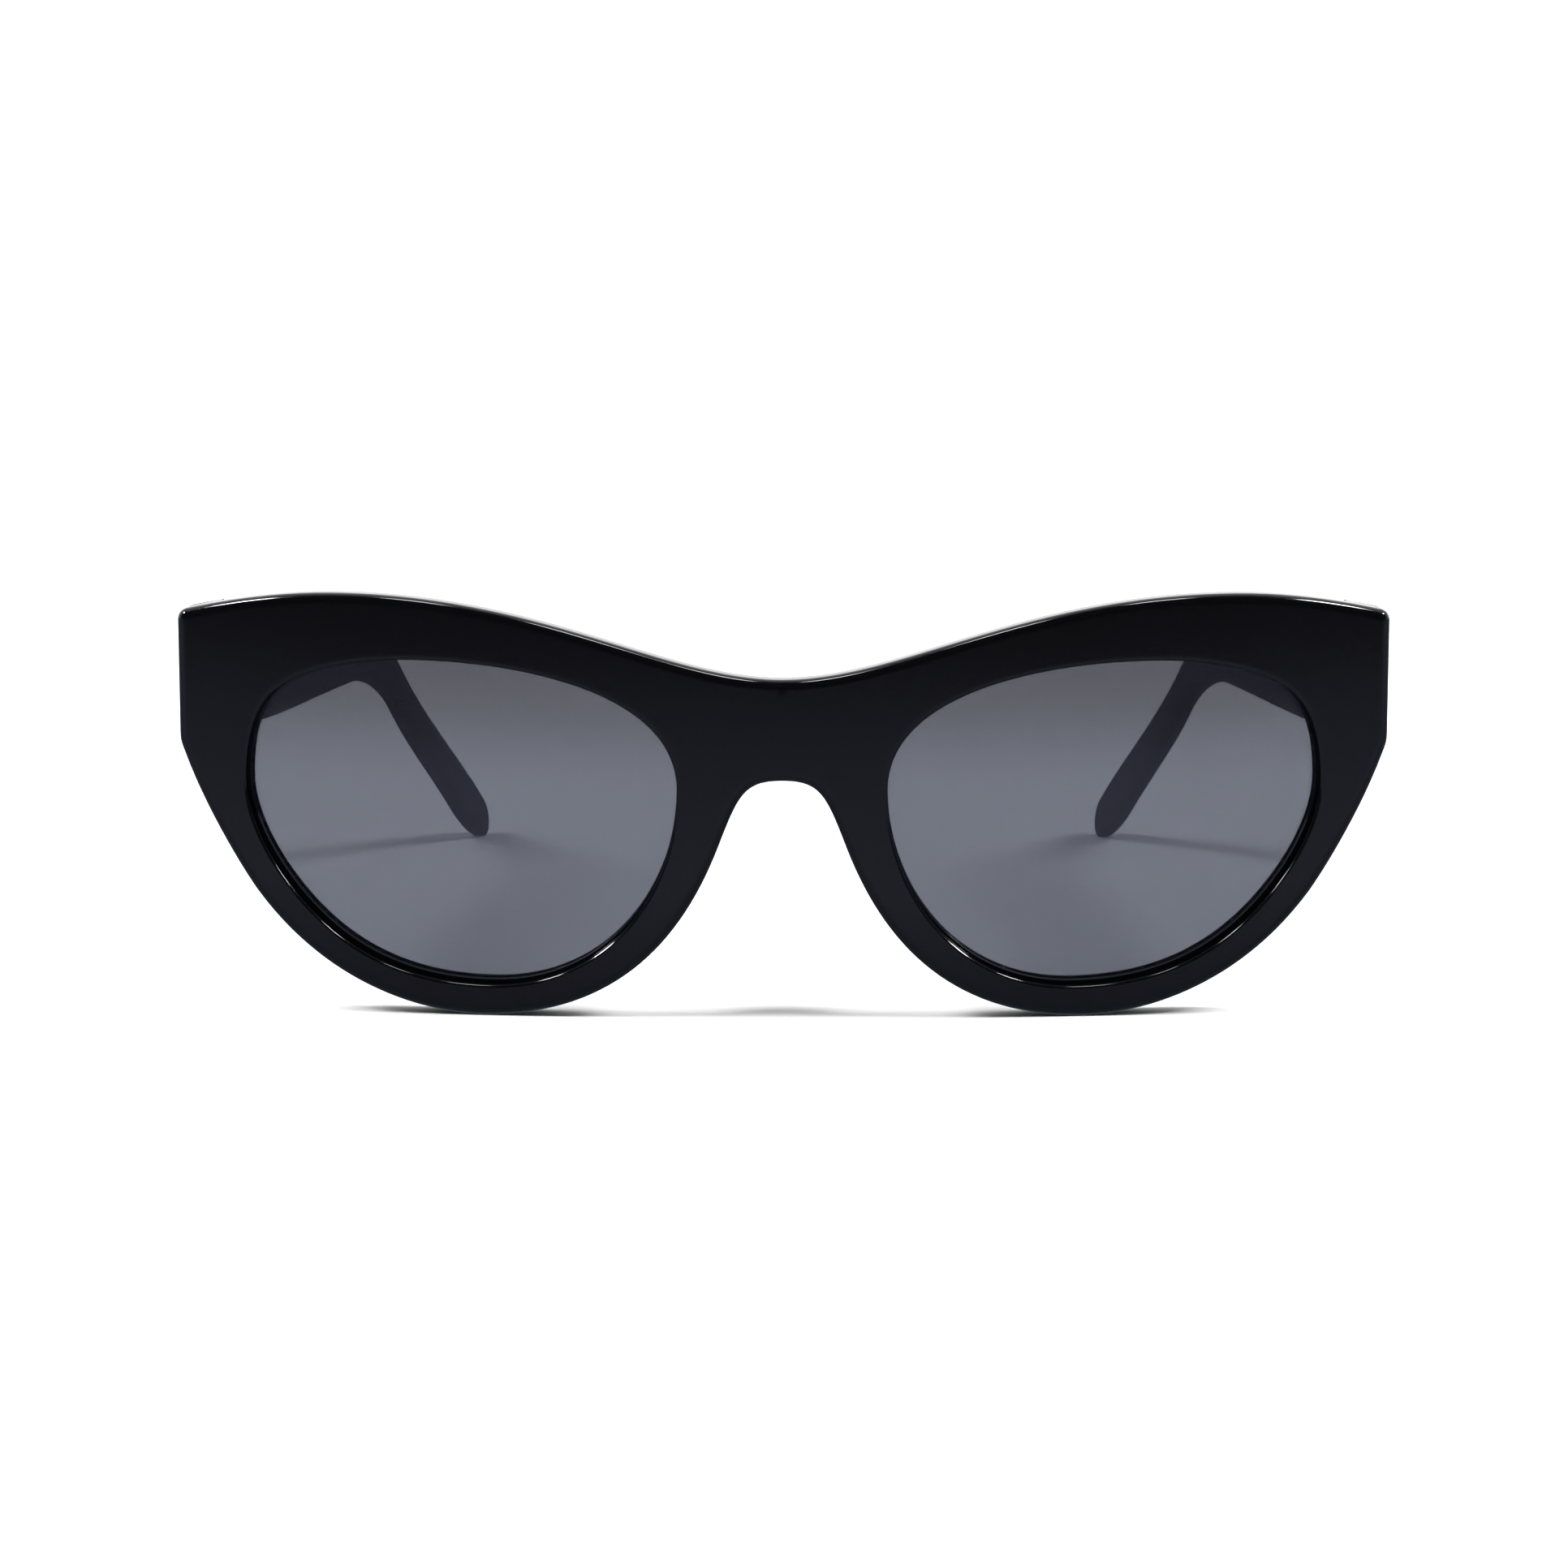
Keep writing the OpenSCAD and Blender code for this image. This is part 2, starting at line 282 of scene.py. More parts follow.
def eye_place_at(angle):
    """The place on the eye outline that lies at an angle round the rays' centre."""
    low, high = 0.0, float(len(EYE_KNOTS) - 1)
    start = polar(on_outline(EYE_KNOTS, 0.0))
    wanted = (start - angle) % (2 * math.pi)
    for _ in range(40):
        middle = (low + high) / 2
        if (start - polar(on_outline(EYE_KNOTS, middle))) % (2 * math.pi) < wanted:
            low = middle
        else:
            high = middle
    return (low + high) / 2


def quarter(steps=ROUND_STEPS):
    """Sine and cosine along a quarter turn, without its first point."""
    turns = [math.pi / 2 * (step + 1) / steps for step in range(steps)]
    return [(math.sin(turn), math.cos(turn)) for turn in turns]


def add_rows(mesh, rows, closed):
    """Adds rows of points to a bmesh as a sheet of quads. Closed rows meet their own start."""
    grid = [[mesh.verts.new(point) for point in row] for row in rows]
    count = len(rows[0])
    for upper, lower in zip(grid, grid[1:]):
        for i in range(count if closed else count - 1):
            j = (i + 1) % count
            mesh.faces.new((upper[i], upper[j], lower[j], lower[i]))
    return grid


def add_fan(mesh, ring, tip):
    """Closes a ring of vertices with triangles to one point."""
    middle = mesh.verts.new(tip)
    for i, vertex in enumerate(ring):
        mesh.faces.new((vertex, ring[(i + 1) % len(ring)], middle))


def tidy(mesh):
    """Joins vertices that coincide and points all normals outwards."""
    bmesh.ops.remove_doubles(mesh, verts=mesh.verts, dist=JOIN_M)
    flat = [face for face in mesh.faces if face.calc_area() < FLAT_M2]
    bmesh.ops.delete(mesh, geom=flat, context="FACES")
    bmesh.ops.recalc_face_normals(mesh, faces=mesh.faces)


def new_object(name, mesh):
    """Turns a bmesh into an object in the scene, with smooth shading."""
    data = bpy.data.meshes.new(name)
    mesh.to_mesh(data)
    mesh.free()
    data.shade_smooth()
    made = bpy.data.objects.new(name, data)
    bpy.context.scene.collection.objects.link(made)
    return made


def shade(piece, angle):
    """Sharp edges above an angle in degrees, and normals weighted by face area elsewhere."""
    piece.data.set_sharp_from_angle(angle=math.radians(angle))
    weighted = piece.modifiers.new("weighted", "WEIGHTED_NORMAL")
    weighted.keep_sharp = True
    weighted.weight = 75


def to_side(mesh, side):
    """Mirrors a bmesh that was built on the left when it is for the right."""
    if SIDES[side] < 0:
        bmesh.ops.scale(mesh, vec=(-1, 1, 1), verts=mesh.verts)
        bmesh.ops.reverse_faces(mesh, faces=mesh.faces)


# ---------------------------------------------------------------- front


def rim_point(rim_places, i, inset):
    """Outer point of station i, inset from the rim's outline or on the centre line."""
    if i < len(rim_places):
        return on_outline(RIM_KNOTS, rim_places[i], -inset)
    share = (i - len(rim_places) + 1) / CUT_STEPS
    low, high = BRIDGE_BOTTOM + inset, BRIDGE_TOP - inset
    return Vector((0, low + (high - low) * share))


def eye_profile():
    """The opening's wall from back to front, as (outset, depth, share of the lip's shift)."""
    groove = GROOVE_DEPTH - LIP - SEAT_PLAY
    back = FRONT_THICKNESS
    near, far = LENS_RECESS - SEAT_PLAY, LENS_RECESS + LENS_THICKNESS + SEAT_PLAY
    radius = INNER_BACK_RADIUS
    rows = [(-LIP + radius, back, 1)]
    rows += [(-LIP + radius * (1 - s), back - radius * (1 - c), 1) for s, c in quarter()]
    rows += [(-LIP, far, 1), (groove, far, 1), (groove, near, 1), (-LIP, near, 1)]
    radius = INNER_FRONT_RADIUS
    wall = EYE_EDGE - radius
    for base, ledge in ((-LIP, LEDGE_INNER_ROWS), (wall, LEDGE_OUTER_ROWS)):
        rows += [(base + out, LEDGE_DEPTH + below, shift) for out, below, shift in ledge]
    rows.append((wall, radius, 0))
    rows += [(wall + radius * (1 - c), radius * (1 - s), 0) for s, c in quarter()]
    return rows


def front_half(mesh):
    """The left half of the front: a ring of rows round the eye, and its outer wall."""
    painted_shade = mesh.verts.layers.float.new("painted_shade")
    rim_places = stations(RIM_STEPS)
    count = len(rim_places) + CUT_STEPS - 1
    outline = [rim_point(rim_places, i, 0) for i in range(count)]
    eye_places = [eye_place_at(polar(point)) for point in outline]

    def eye_row(outset, depth, shift):
        points = [on_outline(EYE_KNOTS, at, outset) + shift * LIP_SHIFT for at in eye_places]
        return [place(p.x, p.y, behind(p.x, depth)) for p in points]

    def outer_row(inset, depth, number=count):
        points = [rim_point(rim_places, i, inset) for i in range(number)]
        return [place(p.x, p.y, behind(p.x, depth)) for p in points]

    def face_row(share, eye_edge, rim_inset, depth):
        row = []
        for i, at in enumerate(eye_places):
            inner = on_outline(EYE_KNOTS, at, eye_edge[0]) + eye_edge[2] * LIP_SHIFT
            p = inner.lerp(rim_point(rim_places, i, rim_inset), share)
            row.append(place(p.x, p.y, behind(p.x, depth)))
        return row

    profile = eye_profile()
    ring = [
        face_row(share, profile[0], OUTER_BACK_RADIUS, FRONT_THICKNESS)
        for share in reversed(FACE_ROWS[1:])
    ]
    ring += [eye_row(*row) for row in profile]
    ring += [face_row(share, profile[-1], OUTER_FRONT_RADIUS, 0) for share in FACE_ROWS[1:]]
    grid = add_rows(mesh, ring, closed=True)
    # Painted shade: these rows of the opening's wall are marked, and the acetate gives them much
    # less gloss so that they show dark
    first = len(FACE_ROWS) - 1
    for row in grid[first : first + len(profile) - ROUND_STEPS]:
        for vertex in row:
            vertex[painted_shade] = 1.0

    radius = OUTER_FRONT_RADIUS
    wall = [(radius, 0)] + [(radius * (1 - s), radius * (1 - c)) for s, c in quarter()]
    radius = OUTER_BACK_RADIUS
    straight = FRONT_THICKNESS - radius
    wall += [(0, (OUTER_FRONT_RADIUS + straight) / 2), (0, straight)]
    wall += [(radius * (1 - c), straight + radius * s) for s, c in quarter()]
    number = len(rim_places)
    add_rows(mesh, [outer_row(inset, depth, number) for inset, depth in wall], closed=False)


def end_block():
    """The thick end piece behind the rim that the temple butts against."""
    mesh = bmesh.new()
    places = [at for at in stations(RIM_STEPS) if on_outline(RIM_KNOTS, at).x > BLOCK_INNER_X]
    top = [at for at in places if at < 4]

    def ring(inset, back):
        edge = [on_outline(RIM_KNOTS, at, -inset) for at in top]
        edge.append(Vector((edge[-1].x, BLOCK_BOTTOM + inset)))
        edge.append(Vector((BLOCK_INNER_X + inset, BLOCK_BOTTOM + inset)))
        edge.append(Vector((BLOCK_INNER_X + inset, edge[0].y)))
        return [place(p.x, p.y, back) for p in edge]

    end = MITRE - HINGE_PLAY
    rows = [ring(BLOCK_SUNK, BLOCK_START), ring(BLOCK_SUNK, end - BLOCK_RADIUS)]
    for s, c in quarter(BLOCK_STEPS):
        rows.append(ring(BLOCK_SUNK + BLOCK_RADIUS * (1 - c), end - BLOCK_RADIUS * (1 - s)))
    grid = add_rows(mesh, rows, closed=True)
    mesh.faces.new(grid[0])
    mesh.faces.new(grid[-1])
    tidy(mesh)
    return mesh


def hinge_seat():
    """The low raised pad on the back of the rim that carries the hinge."""
    mesh = bmesh.new()
    low = place(SEAT_X[0], SEAT_Z[0], BLOCK_START)
    high = place(SEAT_X[1], SEAT_Z[1], SEAT_BACK)
    bmesh.ops.create_cube(mesh, size=1, matrix=box_matrix(low, high))
    rear = [e for e in mesh.edges if any(v.co.y > (low.y + high.y) / 2 for v in e.verts)]
    bmesh.ops.bevel(mesh, geom=rear, offset=SEAT_RADIUS * MM, segments=3, affect="EDGES")
    tidy(mesh)
    return mesh


def box_matrix(low, high):
    """The matrix that makes a unit cube fill a box."""
    size = high - low
    return Matrix.Translation((low + high) / 2) @ Matrix.Diagonal((*size, 1))


def clean(data):
    """Takes the flat leftovers of boolean work out of a mesh."""
    mesh = bmesh.new()
    mesh.from_mesh(data)
    bmesh.ops.remove_doubles(mesh, verts=mesh.verts, dist=2 * JOIN_M)
    bmesh.ops.dissolve_degenerate(mesh, edges=mesh.edges, dist=2 * JOIN_M)
    mesh.to_mesh(data)
    mesh.free()


def unite(base, tools):
    """Unites the base object with the tool objects, which are removed."""
    for tool in tools:
        change = base.modifiers.new("boolean", "BOOLEAN")
        change.operation = "UNION"
        change.solver = "EXACT"
        change.object = tool
    evaluated = base.evaluated_get(bpy.context.evaluated_depsgraph_get())
    made = bpy.data.meshes.new_from_object(evaluated)
    base.modifiers.clear()
    base.data = made
    clean(made)
    for tool in tools:
        bpy.data.objects.remove(tool)


def build_front():
    """The whole front: both halves joined at the centre line, with end pieces and seats."""
    mesh = bmesh.new()
    front_half(mesh)
    tidy(mesh)
    half = mesh.copy()
    bmesh.ops.scale(half, vec=(-1, 1, 1), verts=half.verts)
    mirrored = bpy.data.meshes.new("mirrored")
    half.to_mesh(mirrored)
    half.free()
    mesh.from_mesh(mirrored)
    bpy.data.meshes.remove(mirrored)
    tidy(mesh)
    front = new_object("front", mesh)
    tools = []
    for side in SIDES:
        for maker in (end_block, hinge_seat):
            part = maker()
            to_side(part, side)
            tools.append(new_object(f"{maker.__name__}_{side}", part))
    unite(front, tools)
    shade(front, 35)
    return front


# ---------------------------------------------------------------- lenses and pads


def build_lens(side):
    """A lens that follows the wrap, a little crowned, with a bevelled edge in the groove."""
    mesh = bmesh.new()
    outset = GROOVE_DEPTH - LIP - 2 * SEAT_PLAY
    last = float(len(EYE_KNOTS) - 1)
    places = [last * i / LENS_STATIONS for i in range(LENS_STATIONS)]
    centre = Vector(EYE_CENTRE)
    edge = [on_outline(EYE_KNOTS, at, outset - LENS_BEVEL) + LIP_SHIFT for at in places]

    def row(share, depth):
        points = [centre.lerp(point, share) for point in edge]
        lifted = depth - LENS_CROWN * (1 - share * share)
        return [place(p.x, p.y, behind(p.x, lifted)) for p in points]

    def rim_row(depth):
        points = [on_outline(EYE_KNOTS, at, outset) + LIP_SHIFT for at in places]
        return [place(p.x, p.y, behind(p.x, depth)) for p in points]

    shares = [ring / LENS_RINGS for ring in range(1, LENS_RINGS + 1)]
    back = LENS_RECESS + LENS_THICKNESS
    rows = [row(share, LENS_RECESS) for share in shares]
    bevelled = LENS_THICKNESS * LENS_EDGE_SHARE
    rows += [rim_row(LENS_RECESS + bevelled), rim_row(back - bevelled)]
    rows += [row(share, back) for share in reversed(shares)]
    grid = add_rows(mesh, rows, closed=True)
    middle = behind(centre.x, LENS_RECESS - LENS_CROWN)
    add_fan(mesh, grid[0], place(centre.x, centre.y, middle))
    add_fan(mesh, grid[-1], place(centre.x, centre.y, middle + LENS_THICKNESS))
    tidy(mesh)
    to_side(mesh, side)
    lens = new_object(f"lens_shaped_{side}", mesh)
    shade(lens, 30)
    return lens


def build_pad(side):
    """A nose pad: a rounded fin along its line, leaning outwards from the nose."""
    mesh = bmesh.new()
    rows = []
    for i in range(1, PAD_STATIONS):
        along = -math.cos(math.pi * i / PAD_STATIONS)
        swell = (1 - along * along) ** 0.5
        spine = on_outline(PAD_KNOTS, (1 + along) / 2)
        row = []
        for j in range(PAD_POINTS):
            turn = math.pi * (j / (PAD_POINTS - 1) - 0.5)
            swing = math.copysign(abs(math.sin(turn)) ** PAD_SIDE_POWER, turn)
            across = PAD_HALF_WIDTH * swell**PAD_WIDTH_POWER * swing
            height = 0.0
            if 0 < j < PAD_POINTS - 1:
                height = PAD_REACH * swell**PAD_HEIGHT_POWER * math.cos(turn) ** PAD_TOP_POWER
            row.append((spine.x + across, spine.y, height))
        root = [(row[-1][0], spine.y, -PAD_ROOT), (row[0][0], spine.y, -PAD_ROOT)]
        rows.append([pad_point(*point) for point in [*row, *root]])
    grid = add_rows(mesh, rows, closed=True)
    for ring, at in ((grid[0], 0.0), (grid[-1], 1.0)):
        tip = on_outline(PAD_KNOTS, at)
        add_fan(mesh, ring, pad_point(tip.x, tip.y, -PAD_ROOT / 2))
    tidy(mesh)
    to_side(mesh, side)
    return new_object(f"nose_rest_{side}", mesh)


def pad_point(x, z, height):
    """A nose pad's point at a height above the back of the front."""
    leaning = x + max(height, 0) * PAD_LEAN
    return place(leaning, z, behind(leaning, FRONT_THICKNESS) + height)


# ---------------------------------------------------------------- temples


def bow_share(back, z):
    """Share of the bow at a point of a temple. It grows on down the hook."""
    along = back - BOW_LEAN * (z - BOW_HEIGHT)
    return max(0, along - MITRE) / (BOW_END - MITRE)


def temple_middle(back, z):
    """Sideways place of a temple's middle: it drifts in slowly at first, then faster."""
    drift = TEMPLE_BOW * bow_share(back, z) ** BOW_POWER
    return TEMPLE_INNER_X + TEMPLE_THICKNESS / 2 - drift


def temple_half_thickness(back, z):
    """Half of a temple's thickness, which falls evenly towards the tip."""
    thinning = (TEMPLE_THICKNESS - TIP_THICKNESS) * bow_share(back, z)
    return (TEMPLE_THICKNESS - thinning) / 2


def rounded_section(half_height, half_width, radius):
    """A rounded rectangle as shares (up, across), each from -1 to 1."""
    radius = min(radius, half_height * 0.98, half_width * 0.98)
    up, across = radius / half_height, radius / half_width
    points = []
    for quadrant in range(4):
        u_sign, a_sign = ((1, 1), (-1, 1), (-1, -1), (1, -1))[quadrant]
        for step in range(CORNER_POINTS):
            turn = math.pi / 2 * step / (CORNER_POINTS - 1)
            s, c = math.sin(turn), math.cos(turn)
            if u_sign != a_sign:
                s, c = c, s
            points.append((u_sign * (1 - up * (1 - c)), a_sign * (1 - across * (1 - s))))
    return with_sides(points)


def with_sides(points):
    """The same loop with more points on each straight side, for even shading."""
    loop = []
    for i, point in enumerate(points):
        loop.append(point)
        if i % CORNER_POINTS == CORNER_POINTS - 1:
            following = points[(i + 1) % len(points)]
            loop += [tuple(Vector(point).lerp(following, share)) for share in SIDE_SHARES]
    return loop


def temple_row(at, inset=0.0, slimming=1.0, shift=0.0):
    """A cross-section of the temple between paired places on its top and underside."""
    last = len(TEMPLE_KNOTS) - 1
    top = on_outline(TEMPLE_KNOTS, at, -inset)
    under = on_outline(TEMPLE_KNOTS, last - at, -inset)
    centre = (top + under) / 2
    half_height = max((top - under).length / 2, 0.02)
    half_width = (temple_half_thickness(*centre) - inset) * slimming
    row = []
    for up, across in rounded_section(half_height, half_width, TEMPLE_RADIUS):
        p = centre + (top - under) / 2 * up
        row.append(place(temple_middle(*p) + half_width * across, p.y, p.x + shift))
    return row


def build_temple(side):
    """A temple lofted from its flat butt at the hinge to its rounded tip."""
    mesh = bmesh.new()
    rows = [temple_row(0.0, BUTT_RADIUS)]
    for s, c in quarter(BUTT_STEPS)[:-1]:
        rows.append(temple_row(0.0, BUTT_RADIUS * (1 - s), 1.0, BUTT_RADIUS * (1 - c)))
    along = stations(TEMPLE_STEPS)[1:]
    rows.append(temple_row(0.0, 0.0, 1.0, BUTT_RADIUS))
    rows += [temple_row(at) for at in along]
    tip = float(len(TEMPLE_STEPS))
    for s, c in quarter(TIP_STEPS)[:-1]:
        rows.append(temple_row(tip + s, 0.0, c**TIP_FULLNESS))
    grid = add_rows(mesh, rows, closed=True)
    mesh.faces.new(grid[0])
    end = on_outline(TEMPLE_KNOTS, tip + 1)
    add_fan(mesh, grid[-1], place(temple_middle(*end), end.y, end.x))
    tidy(mesh)
    to_side(mesh, side)
    temple = new_object(f"temple_shaped_{side}", mesh)
    shade(temple, 40)
    return temple


# ---------------------------------------------------------------- materials


def new_material(name):
    """A new material, with its node tree and its Principled shader."""
    material = bpy.data.materials.new(name)
    material.use_nodes = True
    tree = material.node_tree
    shader = next(n for n in tree.nodes if n.type == "BSDF_PRINCIPLED")
    return material, tree, shader


def noise(tree, scale, detail=2.0, stretch=(1, 1, 1)):
    """A noise texture fixed to the object's own coordinates."""
    coordinates = tree.nodes.new("ShaderNodeTexCoord")
    mapping = tree.nodes.new("ShaderNodeMapping")
    mapping.inputs["Scale"].default_value = stretch
    texture = tree.nodes.new("ShaderNodeTexNoise")
    texture.inputs["Scale"].default_value = scale
    texture.inputs["Detail"].default_value = detail
    tree.links.new(coordinates.outputs["Object"], mapping.inputs["Vector"])
    tree.links.new(mapping.outputs["Vector"], texture.inputs["Vector"])
    return texture


def ranged(tree, source, low, high):
    """Maps a noise value to a range."""
    node = tree.nodes.new("ShaderNodeMapRange")
    node.inputs["From Min"].default_value = 0.3
    node.inputs["From Max"].default_value = 0.7
    node.inputs["To Min"].default_value = low
    node.inputs["To Max"].default_value = high
    tree.links.new(source, node.inputs["Value"])
    return node.outputs["Result"]


def bump(tree, shader, source, distance_mm, strength=1.0):
    """Adds relief to a shader."""
    node = tree.nodes.new("ShaderNodeBump")
    node.inputs["Distance"].default_value = distance_mm * MM
    node.inputs["Strength"].default_value = strength
    tree.links.new(source, node.inputs["Height"])
    tree.links.new(node.outputs["Normal"], shader.inputs["Normal"])


def between(tree, source, first, second):
    """A colour between two, led by a value from 0 to 1."""
    node = tree.nodes.new("ShaderNodeValToRGB")
    node.color_ramp.elements[0].color = (*first, 1)
    node.color_ramp.elements[1].color = (*second, 1)
    tree.links.new(source, node.inputs["Fac"])
    return node.outputs["Color"]


def acetate():
    """Polished black acetate: deep, with faint clouding, hand-polish waves and fine marks, and
    painted shade in the opening's wall.
    """
    material, tree, shader = new_material("black_acetate")
    cloud = noise(tree, 60.0, 3.0)
    colour = between(tree, cloud.outputs["Fac"], *ACETATE_COLOURS)
    tree.links.new(colour, shader.inputs["Base Color"])
    marks = noise(tree, 900.0, 4.0, (1, 1, 3))
    tree.links.new(ranged(tree, marks.outputs["Fac"], 0.06, 0.1), shader.inputs["Roughness"])
    shader.inputs["IOR"].default_value = ACETATE_IOR
    # Painted shade: the opening's wall gets much less gloss, so that it shows dark
    painted_shade_mask = tree.nodes.new("ShaderNodeAttribute")
    painted_shade_mask.attribute_name = "painted_shade"
    painted_shade_gloss = tree.nodes.new("ShaderNodeMapRange")
    painted_shade_gloss.inputs["To Min"].default_value = ACETATE_GLOSS_AND_PAINTED_SHADE[0]
    painted_shade_gloss.inputs["To Max"].default_value = ACETATE_GLOSS_AND_PAINTED_SHADE[1]
    tree.links.new(painted_shade_mask.outputs["Fac"], painted_shade_gloss.inputs["Value"])
    tree.links.new(painted_shade_gloss.outputs["Result"], shader.inputs["Specular IOR Level"])
    polish = noise(tree, 110.0, 1.0)
    bump(tree, shader, polish.outputs["Fac"], 0.02, 0.25)
    return material


def smoke_lens():
    """Smoke lens: a tinted transparent part that is darker at the top as painted shade, and a
    clear gloss.
    """
    material, tree, shader = new_material("smoke_lens")
    shader.inputs["Base Color"].default_value = LENS_COLOUR
    shader.inputs["IOR"].default_value = LENS_IOR
    marks = noise(tree, 400.0, 3.0)
    tree.links.new(ranged(tree, marks.outputs["Fac"], 0.03, 0.05), shader.inputs["Roughness"])
    coordinates = tree.nodes.new("ShaderNodeTexCoord")
    height = tree.nodes.new("ShaderNodeSeparateXYZ")
    tree.links.new(coordinates.outputs["Object"], height.inputs["Vector"])
    # The smoke tint is the lens's own; its darkening towards the top is painted shade
    tint = tree.nodes.new("ShaderNodeMapRange")
    tint.interpolation_type = "SMOOTHSTEP"
    tint.inputs["From Min"].default_value = PAINTED_SHADE_HEIGHTS_M[0]
    tint.inputs["From Max"].default_value = PAINTED_SHADE_HEIGHTS_M[1]
    tree.links.new(height.outputs["Z"], tint.inputs["Value"])
    clear = tree.nodes.new("ShaderNodeBsdfTransparent")
    tint_with_painted_shade = between(tree, tint.outputs["Result"], *LENS_TINTS_WITH_PAINTED_SHADE)
    tree.links.new(tint_with_painted_shade, clear.inputs["Color"])
    mix = tree.nodes.new("ShaderNodeMixShader")
    mix.inputs["Fac"].default_value = LENS_CLEAR_SHARE
    output = next(n for n in tree.nodes if n.type == "OUTPUT_MATERIAL")
    tree.links.new(shader.outputs["BSDF"], mix.inputs[1])
    tree.links.new(clear.outputs["BSDF"], mix.inputs[2])
    tree.links.new(mix.outputs["Shader"], output.inputs["Surface"])
    return material


def metal(name, colour, roughness, brush):
    """A plated or bright metal with a brushed grain and a little tarnish."""
    material, tree, shader = new_material(name)
    shader.inputs["Metallic"].default_value = 1.0
    grain = noise(tree, 2500.0, 3.0, brush)
    darker = tuple(METAL_DARKENING * channel for channel in colour)
    tint = between(tree, grain.outputs["Fac"], darker, colour)
    tree.links.new(tint, shader.inputs["Base Color"])
    rough = ranged(tree, grain.outputs["Fac"], roughness * 0.85, roughness * 1.2)
    tree.links.new(rough, shader.inputs["Roughness"])
    bump(tree, shader, grain.outputs["Fac"], 0.004, 0.2)
    return material


def dress(obj, material):
    """Gives an object one material."""
    obj.data.materials.clear()
    obj.data.materials.append(material)


def soften(obj):
    """Breaks the sharp edges of a small CAD piece."""
    weld = obj.modifiers.new("weld", "WELD")
    weld.merge_threshold = JOIN_M
    bevel = obj.modifiers.new("bevel", "BEVEL")
    bevel.width = 0.09 * MM
    bevel.segments = 2
    bevel.limit_method = "ANGLE"
    bevel.angle_limit = math.radians(40)


# ---------------------------------------------------------------- stage


def build_floor():
    """A plain pale floor. Gloss sees a painted glow in its place, which fades to painted shade
    in front, as under a studio's flag.
    """
    mesh = bmesh.new()
    corners = [(-1, -1), (1, -1), (1, 1), (-1, 1)]
    mesh.faces.new([mesh.verts.new((x * FLOOR_SPAN_M, y * FLOOR_SPAN_M, 0)) for x, y in corners])
    floor = new_object("floor", mesh)
    material, tree, shader = new_material("pale_floor")
    shader.inputs["Specular IOR Level"].default_value = 0.0
    tone = between(tree, noise(tree, 9.0).outputs["Fac"], *FLOOR_COLOURS)
    tree.links.new(tone, shader.inputs["Base Color"])
    rough = ranged(tree, noise(tree, 30.0).outputs["Fac"], 0.85, 0.95)
    tree.links.new(rough, shader.inputs["Roughness"])
    coordinates = tree.nodes.new("ShaderNodeTexCoord")
    axes = tree.nodes.new("ShaderNodeSeparateXYZ")
    tree.links.new(coordinates.outputs["Object"], axes.inputs["Vector"])
    nearness = tree.nodes.new("ShaderNodeMapRange")
    nearness.inputs["From Min"].default_value = FRONT_Y - FLAG_DISTANCE * MM
    nearness.inputs["From Max"].default_value = FRONT_Y
    tree.links.new(axes.outputs["Y"], nearness.inputs["Value"])
    fade = tree.nodes.new("ShaderNodeValToRGB")
    fade.color_ramp.elements[0].color = (*FLOOR_PAINTED_GLOW[0][1], 1)
    fade.color_ramp.elements[1].color = (*FLOOR_PAINTED_GLOW[-1][1], 1)
    for position, colour in FLOOR_PAINTED_GLOW[1:-1]:
        fade.color_ramp.elements.new(position).color = (*colour, 1)
    tree.links.new(nearness.outputs["Result"], fade.inputs["Fac"])
    # Painted glow and shade: glossy rays see this emission instead of the lit floor
    dim = tree.nodes.new("ShaderNodeEmission")
    tree.links.new(fade.outputs["Color"], dim.inputs["Color"])
    path = tree.nodes.new("ShaderNodeLightPath")
    mix = tree.nodes.new("ShaderNodeMixShader")
    output = next(n for n in tree.nodes if n.type == "OUTPUT_MATERIAL")
    tree.links.new(path.outputs["Is Glossy Ray"], mix.inputs["Fac"])
    tree.links.new(shader.outputs["BSDF"], mix.inputs[1])
    tree.links.new(dim.outputs["Emission"], mix.inputs[2])
    tree.links.new(mix.outputs["Shader"], output.inputs["Surface"])
    dress(floor, material)


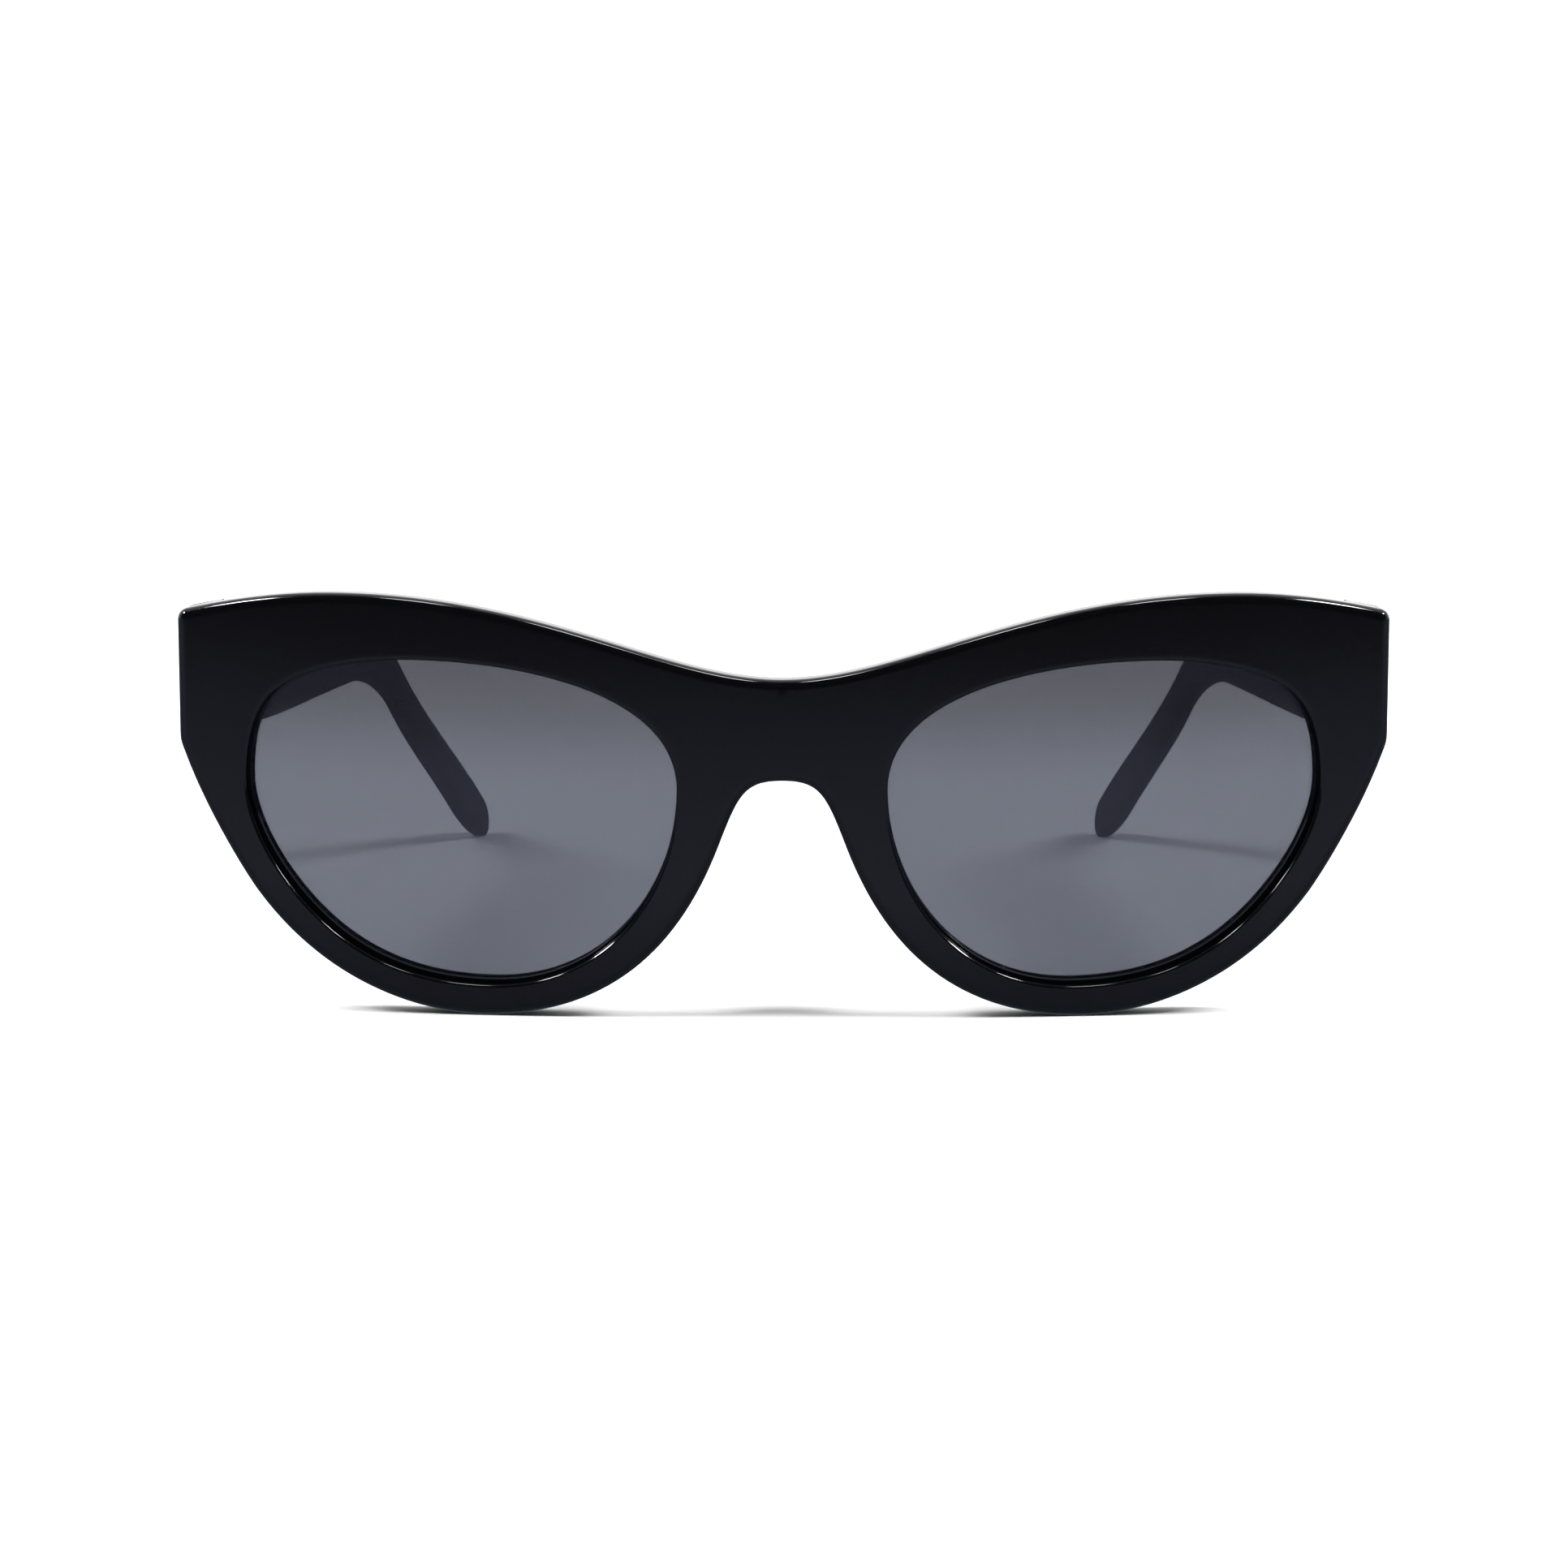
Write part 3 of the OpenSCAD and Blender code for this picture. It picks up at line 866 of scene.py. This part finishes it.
def build_world():
    """White to the camera. As light it is bright behind the object and dim in front of it."""
    world = bpy.data.worlds.new("studio")
    bpy.context.scene.world = world
    world.use_nodes = True
    tree = world.node_tree
    tree.nodes.clear()
    coordinates = tree.nodes.new("ShaderNodeTexCoord")
    axes = tree.nodes.new("ShaderNodeSeparateXYZ")
    tree.links.new(coordinates.outputs["Generated"], axes.inputs["Vector"])
    backwards = tree.nodes.new("ShaderNodeMapRange")
    backwards.interpolation_type = "SMOOTHSTEP"
    backwards.inputs["From Min"].default_value = WORLD_CHANGE[0]
    backwards.inputs["From Max"].default_value = WORLD_CHANGE[1]
    backwards.inputs["To Min"].default_value = WORLD_STRENGTH[0]
    backwards.inputs["To Max"].default_value = WORLD_STRENGTH[1]
    tree.links.new(axes.outputs["Y"], backwards.inputs["Value"])
    lit = tree.nodes.new("ShaderNodeBackground")
    lit.inputs["Color"].default_value = WHITE
    tree.links.new(backwards.outputs["Result"], lit.inputs["Strength"])
    seen = tree.nodes.new("ShaderNodeBackground")
    seen.inputs["Color"].default_value = WHITE
    seen.inputs["Strength"].default_value = WORLD_SEEN
    path = tree.nodes.new("ShaderNodeLightPath")
    mix = tree.nodes.new("ShaderNodeMixShader")
    output = tree.nodes.new("ShaderNodeOutputWorld")
    tree.links.new(path.outputs["Is Camera Ray"], mix.inputs["Fac"])
    tree.links.new(lit.outputs["Background"], mix.inputs[1])
    tree.links.new(seen.outputs["Background"], mix.inputs[2])
    tree.links.new(mix.outputs["Shader"], output.inputs["Surface"])


def add_light(name, direction, strength, spread, gloss_only):
    """A light that shines along a direction. Only gloss sees it, or everything but gloss."""
    lamp = bpy.data.lights.new(name, "SUN")
    lamp.energy = strength
    lamp.angle = math.radians(spread)
    holder = bpy.data.objects.new(name, lamp)
    holder.rotation_euler = Vector(direction).to_track_quat("-Z", "Y").to_euler()
    holder.visible_glossy = gloss_only
    holder.visible_diffuse = not gloss_only
    bpy.context.scene.collection.objects.link(holder)


def build_lights():
    """Wide soft lights for the shadows, and small ones that draw the thin lines of gloss."""
    add_light(*FILL_LIGHT)
    for side, sign in SIDES.items():
        for name, (x, y, z), *settings in SIDE_LIGHTS:
            add_light(f"{name}_{side}", (sign * x, y, z), *settings)


def build_camera():
    """The camera at the viewing angle of the product shot."""
    data = bpy.data.cameras.new("camera")
    data.sensor_width = CAMERA_SENSOR
    data.lens = CAMERA_LENS
    camera = bpy.data.objects.new("camera", data)
    camera.location = place(CAMERA_SIDE, CAMERA_HEIGHT, -CAMERA_DISTANCE)
    camera.rotation_euler = (math.radians(90 - CAMERA_PITCH), 0, math.radians(CAMERA_TURN))
    bpy.context.scene.collection.objects.link(camera)
    bpy.context.scene.camera = camera
    bpy.context.scene.view_settings.view_transform = "Standard"


# ---------------------------------------------------------------- assembly


def add_acetate_pieces():
    """The black acetate pieces, each on its body."""
    black = acetate()
    front = build_front()
    dress(front, black)
    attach(front, "front")
    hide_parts("front_frame")
    for side in SIDES:
        pad = build_pad(side)
        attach(pad, "front")
        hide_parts(f"nose_pad_{side}")
        temple = build_temple(side)
        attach(temple, f"temple_{side}_arm")
        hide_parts(f"temple_{side}")
        for piece in (pad, temple):
            dress(piece, black)


def add_lenses():
    """Both lenses, glazed into the front."""
    smoke = smoke_lens()
    for side in SIDES:
        lens = build_lens(side)
        dress(lens, smoke)
        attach(lens, "front")
        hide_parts(f"lens_{side}")


def finish_metal_nodes():
    """Better metal on the CAD hinges, rivets, screws and core wires."""
    plated = metal("hinge_plating", (0.62, 0.6, 0.57), 0.3, (1, 1, 6))
    bright = metal("bright_steel", (0.78, 0.78, 0.77), 0.18, (4, 4, 1))
    wire = metal("core_wire", (0.55, 0.54, 0.52), 0.35, (6, 1, 6))
    for name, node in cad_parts.items():
        if "core_wire" in name:
            dress(node, wire)
        elif "rivets" in name or "screw" in name:
            dress(node, bright)
            soften(node)
        elif "hinge" in name:
            dress(node, plated)
            soften(node)


add_acetate_pieces()
add_lenses()
finish_metal_nodes()
build_floor()
build_world()
build_lights()
build_camera()
